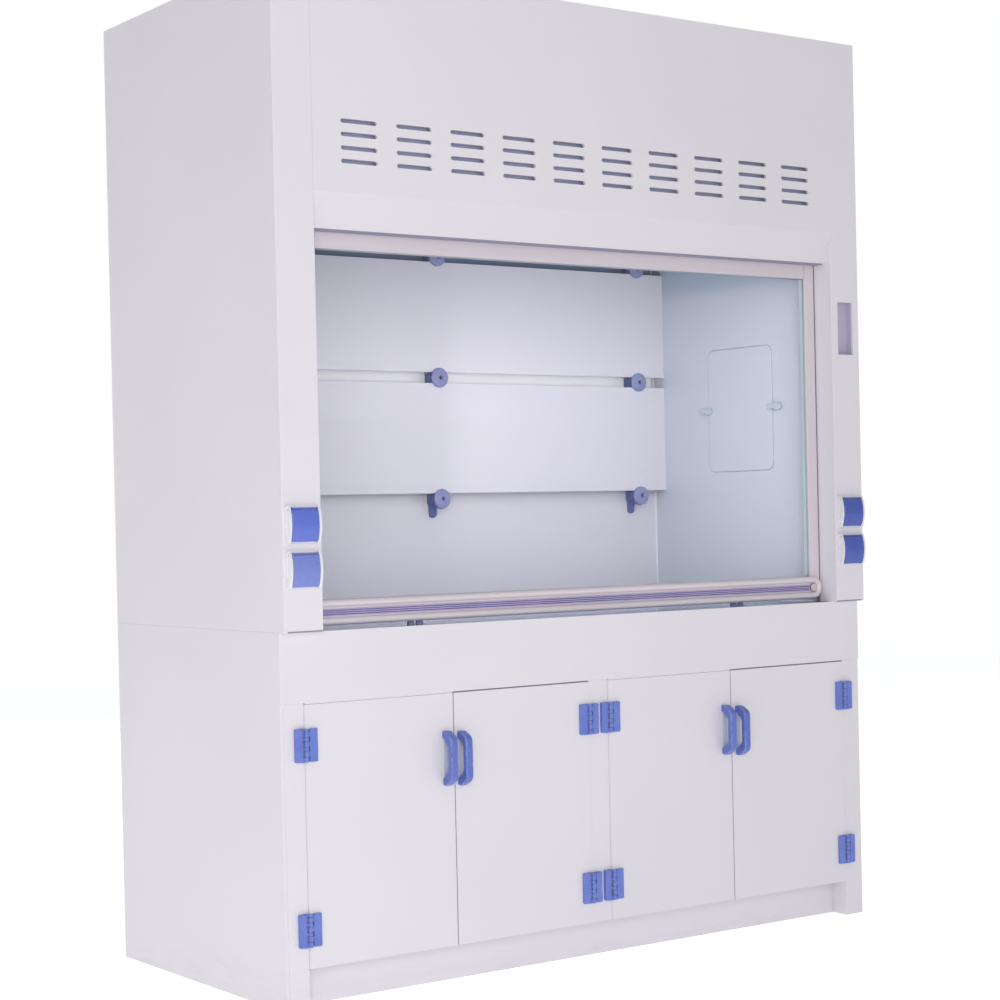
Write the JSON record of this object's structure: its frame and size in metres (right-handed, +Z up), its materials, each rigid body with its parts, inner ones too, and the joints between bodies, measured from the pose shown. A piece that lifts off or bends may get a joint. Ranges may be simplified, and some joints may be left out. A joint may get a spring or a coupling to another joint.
{
  "type": "fume hood",
  "caption": "Bench fume hood: base cabinet with hinged doors, glazed vertical sash with grip bar, slotted fascia, baffled chamber, lidded sockets and an exhaust collar on the roof.",
  "frame": {"origin": "on the floor, at the middle of the outer box's plan", "axes": "+Z up, the front with the sash and doors towards -Y, +X to the right of a person facing the hood"},
  "size_m": [1.8, 0.872, 2.41],
  "materials": {
    "white_panel": "satin white polypropylene sheet",
    "toe_panel": "satin light grey polypropylene sheet",
    "liner": "satin off-white liner sheet",
    "worktop": "glossy blue-grey slab",
    "light_housing": "satin light grey",
    "light_lens": "opal diffuser",
    "knob": "satin blue-grey",
    "bracket": "dark blue-grey",
    "pocket": "matt purple-grey",
    "guide": "satin extrusion",
    "bumper": "dark moulded rubber",
    "gear_steel": "zinc-plated",
    "rope": "twisted wire rope",
    "socket_plate": "satin white",
    "blue_fitting": "satin blue polypropylene",
    "blue_lid": "satin blue",
    "sash_aluminium": "satin anodised, faint champagne tint",
    "sash_glass": "clear, faint green edge",
    "grip_inlay": "ribbed blue-violet strip",
    "counterweight": "black painted bar",
    "pulley": "natural nylon",
    "latch": "white moulding"
  },
  "bodies": {
    "cabinet": {"base_sides": "white_panel", "base_back": "white_panel", "base_deck": "white_panel", "toe_kick": "toe_panel", "base_posts": "white_panel", "apron": "white_panel", "worktop": "worktop", "upper_sides": "white_panel", "upper_back": "white_panel", "roof": "white_panel", "exhaust_collar": "white_panel", "left_column": "white_panel", "right_column": "white_panel", "fascia": "white_panel", "side_liners": "liner", "back_liner": "liner", "ceiling_liner": "liner", "exhaust_plenum": "liner", "light_fitting": "light_housing", "light_lens": "light_lens", "baffle_panels": "liner", "baffle_brackets": "bracket", "baffle_knobs": "knob", "inspection_covers": "liner", "controller_pocket": "pocket", "sash_guides": "guide", "sash_bumpers": "bumper", "pulley_brackets": "gear_steel", "sash_cables": "rope", "counterweight_cables": "rope", "cable_wraps": "rope", "socket_plates": "socket_plate", "hinge_frame_leaves": "blue_fitting"},
    "sash": {"sash_frame": "sash_aluminium", "sash_glass": "sash_glass", "sash_handle_bar": "sash_aluminium", "sash_handle_inlay": "grip_inlay", "sash_end_plugs": "sash_aluminium"},
    "counterweights": {"counterweights": "counterweight"},
    "pulleys": {"pulleys": "pulley"},
    "door_1": {"door_1": "white_panel", "door_handle_1": "blue_fitting", "door_leaves_1": "blue_fitting"},
    "door_2": {"door_2": "white_panel", "door_handle_2": "blue_fitting", "door_leaves_2": "blue_fitting"},
    "door_3": {"door_3": "white_panel", "door_handle_3": "blue_fitting", "door_leaves_3": "blue_fitting"},
    "door_4": {"door_4": "white_panel", "door_handle_4": "blue_fitting", "door_leaves_4": "blue_fitting"},
    "socket_lid_1": {"socket_lid_1": "blue_lid"},
    "socket_lid_2": {"socket_lid_2": "blue_lid"},
    "socket_lid_3": {"socket_lid_3": "blue_lid"},
    "socket_lid_4": {"socket_lid_4": "blue_lid"},
    "window_latch_1": {"window_latch_1": "latch"},
    "window_latch_2": {"window_latch_2": "latch"},
    "window_latch_3": {"window_latch_3": "latch"},
    "window_latch_4": {"window_latch_4": "latch"}
  },
  "joints": [
    {"name": "sash_slide", "type": "slide", "parent": "cabinet", "child": "sash", "axis": [0, 0, 1], "range_m": [0, 0.5], "deforming": ["sash_cables"]},
    {"name": "counterweight_slide", "type": "slide", "parent": "cabinet", "child": "counterweights", "axis": [0, 0, -1], "range_m": [0, 0.5], "deforming": ["counterweight_cables"]},
    {"name": "pulley_spin", "type": "hinge", "parent": "cabinet", "child": "pulleys", "pos_m": [0, -0.295, 2.285], "axis": [-1, 0, 0], "range_deg": [0, 640]},
    {"name": "door_1_hinge", "type": "hinge", "parent": "cabinet", "child": "door_1", "pos_m": [-0.84, -0.3955, 0.39], "axis": [0, 0, -1], "range_deg": [0, 110]},
    {"name": "door_2_hinge", "type": "hinge", "parent": "cabinet", "child": "door_2", "pos_m": [-0.033, -0.3955, 0.39], "axis": [0, 0, 1], "range_deg": [0, 85]},
    {"name": "door_3_hinge", "type": "hinge", "parent": "cabinet", "child": "door_3", "pos_m": [0.032, -0.3955, 0.39], "axis": [0, 0, -1], "range_deg": [0, 85]},
    {"name": "door_4_hinge", "type": "hinge", "parent": "cabinet", "child": "door_4", "pos_m": [0.84, -0.3955, 0.39], "axis": [0, 0, 1], "range_deg": [0, 110]},
    {"name": "socket_lid_1_hinge", "type": "hinge", "parent": "cabinet", "child": "socket_lid_1", "pos_m": [-0.85, -0.4255, 1.125], "axis": [-1, 0, 0], "range_deg": [0, 95], "stiffness_Nm_per_rad": 0.03, "springref_deg": -28.65},
    {"name": "socket_lid_2_hinge", "type": "hinge", "parent": "cabinet", "child": "socket_lid_2", "pos_m": [-0.85, -0.4255, 1.024], "axis": [-1, 0, 0], "range_deg": [0, 95], "stiffness_Nm_per_rad": 0.03, "springref_deg": -28.65},
    {"name": "socket_lid_3_hinge", "type": "hinge", "parent": "cabinet", "child": "socket_lid_3", "pos_m": [0.85, -0.4255, 1.125], "axis": [-1, 0, 0], "range_deg": [0, 95], "stiffness_Nm_per_rad": 0.03, "springref_deg": -28.65},
    {"name": "socket_lid_4_hinge", "type": "hinge", "parent": "cabinet", "child": "socket_lid_4", "pos_m": [0.85, -0.4255, 1.024], "axis": [-1, 0, 0], "range_deg": [0, 95], "stiffness_Nm_per_rad": 0.03, "springref_deg": -28.65},
    {"name": "window_latch_1_turn", "type": "hinge", "parent": "cabinet", "child": "window_latch_1", "pos_m": [-0.8, -0.186, 1.387], "axis": [1, 0, 0], "range_deg": [0, 90]},
    {"name": "window_latch_2_turn", "type": "hinge", "parent": "cabinet", "child": "window_latch_2", "pos_m": [-0.8, 0.099, 1.387], "axis": [1, 0, 0], "range_deg": [0, 90]},
    {"name": "window_latch_3_turn", "type": "hinge", "parent": "cabinet", "child": "window_latch_3", "pos_m": [0.8, -0.186, 1.387], "axis": [1, 0, 0], "range_deg": [0, 90]},
    {"name": "window_latch_4_turn", "type": "hinge", "parent": "cabinet", "child": "window_latch_4", "pos_m": [0.8, 0.099, 1.387], "axis": [1, 0, 0], "range_deg": [0, 90]}
  ],
  "couplings": [
    {"joint": "counterweight_slide", "follows": "sash_slide", "ratio": 1},
    {"joint": "pulley_spin", "follows": "sash_slide", "rad_per_m": 22.222}
  ]
}
